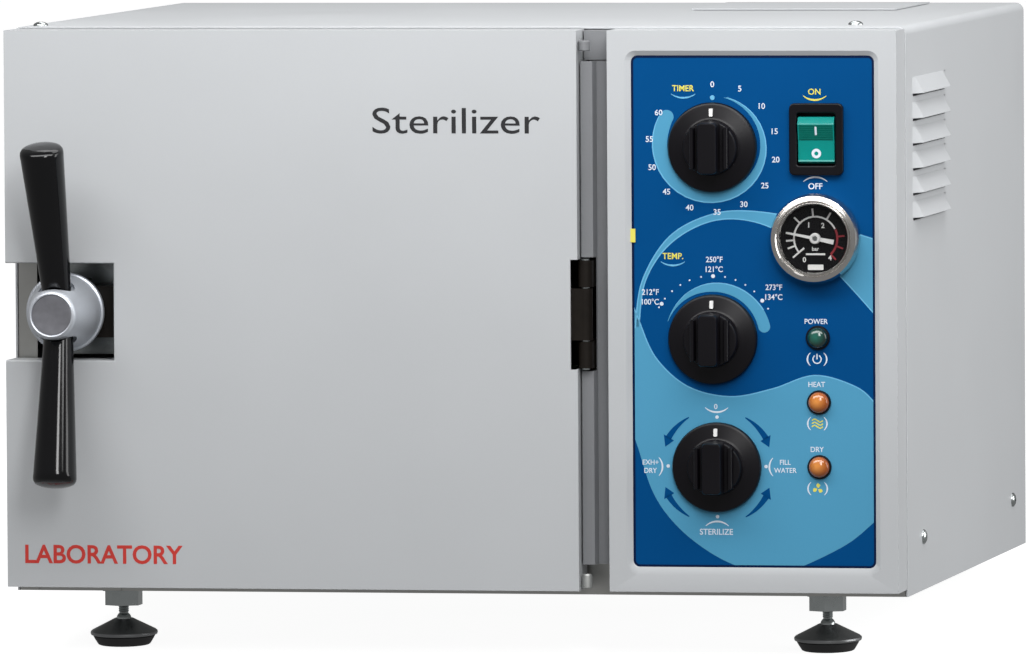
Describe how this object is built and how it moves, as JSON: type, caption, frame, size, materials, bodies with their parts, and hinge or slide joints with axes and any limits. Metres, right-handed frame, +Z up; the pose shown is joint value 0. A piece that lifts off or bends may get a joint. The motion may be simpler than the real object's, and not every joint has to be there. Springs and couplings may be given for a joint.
{
  "type": "benchtop autoclave",
  "caption": "Benchtop steam steriliser: side-hung door with a screw handle, control column with knobs, gauge, switch and lamps, steam chamber and filling lid.",
  "frame": {"origin": "on the floor, at the centre of the object's outline seen from above", "axes": "+X to the object's right as seen from the front, +Y to the rear, +Z up; the casing leans back by 2.8 degrees about X"},
  "size_m": [0.448, 0.4628, 0.3052],
  "materials": {
    "casing_enamel": "fine-grained light grey enamel, satin",
    "front_enamel": "smooth light grey enamel, satin",
    "inner_zinc": "galvanised sheet",
    "stainless": "brushed stainless",
    "overlay_print": "printed film, blue and light blue",
    "black_bakelite": "polished black phenolic",
    "knob_plastic": "satin black",
    "chrome": "satin chrome",
    "black_steel": "black coated steel",
    "zinc_steel": "zinc plated",
    "door_seal": "silicone rubber",
    "insulation_wool": "mineral wool",
    "heater_mica": "mica band",
    "tank_plastic": "moulded tank",
    "component_plastic": "moulded black",
    "brass": "turned brass",
    "dial_black": "printed dial",
    "needle_white": "painted white",
    "gauge_glass": "clear",
    "rocker_green": "translucent green",
    "lamp_green": "translucent green lens",
    "lamp_amber": "translucent amber lens",
    "foot_rubber": "black rubber"
  },
  "bodies": {
    "casing": {"base_pan": "inner_zinc", "chamber_insulation": "insulation_wool", "chamber_vessel": "stainless", "control_fascia": "front_enamel", "control_overlay": "overlay_print", "drain_stub": "brass", "dry_lamp": "lamp_amber", "foot_front_left_nut": "zinc_steel", "foot_front_left_stud": "zinc_steel", "foot_front_right_nut": "zinc_steel", "foot_front_right_stud": "zinc_steel", "foot_rear_left": "foot_rubber", "foot_rear_right": "foot_rubber", "front_panel": "stainless", "gap_strip": "front_enamel", "gauge_case": "chrome", "gauge_dial": "dial_black", "gauge_glass": "gauge_glass", "heat_lamp": "lamp_amber", "heater_band": "heater_mica", "hinge_bracket": "black_steel", "hinge_pin": "zinc_steel", "latch_plate": "zinc_steel", "latch_post": "stainless", "latch_web_lower": "stainless", "latch_web_upper": "stainless", "mains_inlet": "component_plastic", "outer_cover": "casing_enamel", "ready_lamp": "lamp_green", "rear_panel": "casing_enamel", "safety_valve": "brass", "switch_frame": "knob_plastic", "thermostat_body": "component_plastic", "timer_body": "component_plastic", "valve_body": "brass", "water_reservoir": "tank_plastic"},
    "door": {"door_cover": "front_enamel", "door_bar": "black_steel", "door_disc": "stainless", "door_gasket": "door_seal", "door_centre_nut": "zinc_steel"},
    "closing_handle": {"closing_bolt": "zinc_steel", "handle_hub": "chrome", "handle_bar_upper": "black_bakelite", "handle_bar_lower": "black_bakelite"},
    "timer_dial": {"timer_knob": "knob_plastic", "timer_shaft": "zinc_steel"},
    "thermostat_dial": {"thermostat_knob": "knob_plastic", "thermostat_shaft": "zinc_steel"},
    "valve_dial": {"valve_knob": "knob_plastic", "valve_shaft": "zinc_steel"},
    "pressure_needle": {"gauge_needle": "needle_white"},
    "power_button": {"power_rocker": "rocker_green"},
    "filling_lid": {"reservoir_lid": "casing_enamel"},
    "safety_valve_pull": {"safety_valve_knob": "brass"},
    "left_foot_pad": {"foot_front_left_pad": "foot_rubber"},
    "right_foot_pad": {"foot_front_right_pad": "foot_rubber"}
  },
  "joints": [
    {"name": "door_swing", "type": "hinge", "parent": "casing", "child": "door", "pos_m": [0.0665, -0.18228, 0.16824], "axis": [0, 0.0488, 0.9988], "range_deg": [0, 110]},
    {"name": "handle_turn", "type": "hinge", "parent": "door", "child": "closing_handle", "pos_m": [-0.191, -0.16181, 0.16724], "axis": [0, 0.9988, -0.0488], "range_deg": [0, 90]},
    {"name": "timer_turn", "type": "hinge", "parent": "casing", "child": "timer_dial", "pos_m": [0.1298, -0.18503, 0.24927], "axis": [0, 0.9988, -0.0488], "range_deg": [0, 302]},
    {"name": "thermostat_turn", "type": "hinge", "parent": "casing", "child": "thermostat_dial", "pos_m": [0.1296, -0.18954, 0.15698], "axis": [0, 0.9988, -0.0488], "range_deg": [-55, 52]},
    {"name": "valve_turn", "type": "hinge", "parent": "casing", "child": "valve_dial", "pos_m": [0.1312, -0.19255, 0.09545], "axis": [0, 0.9988, -0.0488], "range_deg": [0, 270]},
    {"name": "needle_sweep", "type": "hinge", "parent": "casing", "child": "pressure_needle", "pos_m": [0.1799, -0.18716, 0.20572], "axis": [0, 0.9988, -0.0488], "range_deg": [-56, 190], "stiffness_Nm_per_rad": 0.002},
    {"name": "rocker_tilt", "type": "hinge", "parent": "casing", "child": "power_button", "pos_m": [0.1805, -0.17764, 0.25291], "axis": [1, 0, 0], "range_deg": [-12, 0]},
    {"name": "lid_lift", "type": "slide", "parent": "casing", "child": "filling_lid", "axis": [0, 0.0488, 0.9988], "range_m": [0, 0.06]},
    {"name": "safety_valve_pull", "type": "slide", "parent": "casing", "child": "safety_valve_pull", "axis": [0, 0.9988, -0.0488], "range_m": [0, 0.003], "stiffness_N_per_m": 500},
    {"name": "left_pad_swivel", "type": "hinge", "parent": "casing", "child": "left_foot_pad", "pos_m": [-0.1748, -0.13437, 0.01171], "axis": [0, 0, 1], "continuous": true},
    {"name": "right_pad_swivel", "type": "hinge", "parent": "casing", "child": "right_foot_pad", "pos_m": [0.1748, -0.13437, 0.01171], "axis": [0, 0, 1], "continuous": true}
  ]
}
